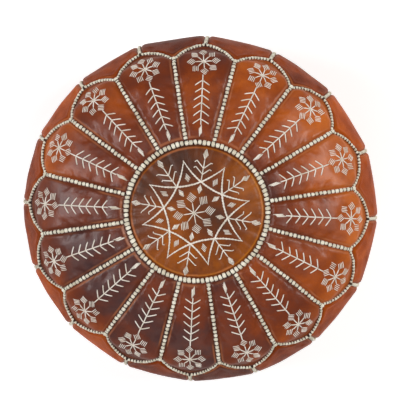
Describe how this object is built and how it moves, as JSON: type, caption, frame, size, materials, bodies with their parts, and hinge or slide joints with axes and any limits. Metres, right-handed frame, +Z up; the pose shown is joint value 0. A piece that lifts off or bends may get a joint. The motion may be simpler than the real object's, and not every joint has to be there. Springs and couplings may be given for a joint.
{
  "type": "moroccan leather pouf",
  "caption": "Round stuffed leather pouf with an embroidered medallion, petal-shaped top panels, side panels with overcast seams, and a zip across the base.",
  "frame": {"origin": "middle of the flat base, on the surface that the pouf rests on", "axes": "+Z up; +X through the tip of one scallop and along the zip, towards its closed end; +Y through the tip four scallops further round"},
  "size_m": [0.5562, 0.5562, 0.301],
  "materials": {
    "medallion_leather": "satin",
    "cognac_leather": "satin",
    "brown_leather": "satin",
    "plum_leather": "satin",
    "side_leather": "satin",
    "base_leather": "matte",
    "seam_thread": "matte",
    "embroidery_thread": "satin",
    "zip_tape": "matte",
    "zip_coil": "satin",
    "zip_metal": "satin",
    "bag_cotton": "matte",
    "filling_fibre": "matte"
  },
  "bodies": {
    "pouf": {"medallion": "medallion_leather", "top_panel_01": "cognac_leather", "top_panel_02": "cognac_leather", "top_panel_03": "cognac_leather", "top_panel_04": "cognac_leather", "top_panel_05": "brown_leather", "top_panel_06": "brown_leather", "top_panel_07": "cognac_leather", "top_panel_08": "brown_leather", "top_panel_09": "plum_leather", "top_panel_10": "plum_leather", "top_panel_11": "cognac_leather", "top_panel_12": "brown_leather", "top_panel_13": "brown_leather", "top_panel_14": "brown_leather", "top_panel_15": "brown_leather", "top_panel_16": "cognac_leather", "side_panel_01": "side_leather", "side_panel_02": "side_leather", "side_panel_03": "side_leather", "side_panel_04": "side_leather", "side_panel_05": "side_leather", "side_panel_06": "side_leather", "side_panel_07": "side_leather", "side_panel_08": "side_leather", "side_panel_09": "side_leather", "side_panel_10": "side_leather", "side_panel_11": "side_leather", "side_panel_12": "side_leather", "side_panel_13": "side_leather", "side_panel_14": "side_leather", "side_panel_15": "side_leather", "side_panel_16": "side_leather", "medallion_seam": "seam_thread", "radial_seams": "seam_thread", "scallop_seams": "seam_thread", "side_seams": "seam_thread", "base_seam": "seam_thread", "medallion_embroidery": "embroidery_thread", "petal_embroidery": "embroidery_thread", "base_half_left": "base_leather", "base_half_right": "base_leather", "zip_tape_left": "zip_tape", "zip_tape_right": "zip_tape", "zip_coil_left": "zip_coil", "zip_coil_right": "zip_coil", "zip_top_stop": "zip_metal", "zip_bottom_stop": "zip_metal", "inner_bag": "bag_cotton", "filling": "filling_fibre"},
    "zip_slider": {"zip_slider": "zip_metal"},
    "zip_pull": {"zip_pull_tab": "zip_metal"}
  },
  "joints": [
    {"name": "zip_travel", "type": "slide", "parent": "pouf", "child": "zip_slider", "axis": [-1, 0, 0], "range_m": [0, 0.32]},
    {"name": "zip_pull_swing", "type": "hinge", "parent": "zip_slider", "child": "zip_pull", "pos_m": [0.16, 0, 0.0041], "axis": [0, -1, 0], "range_deg": [0, 180]}
  ]
}
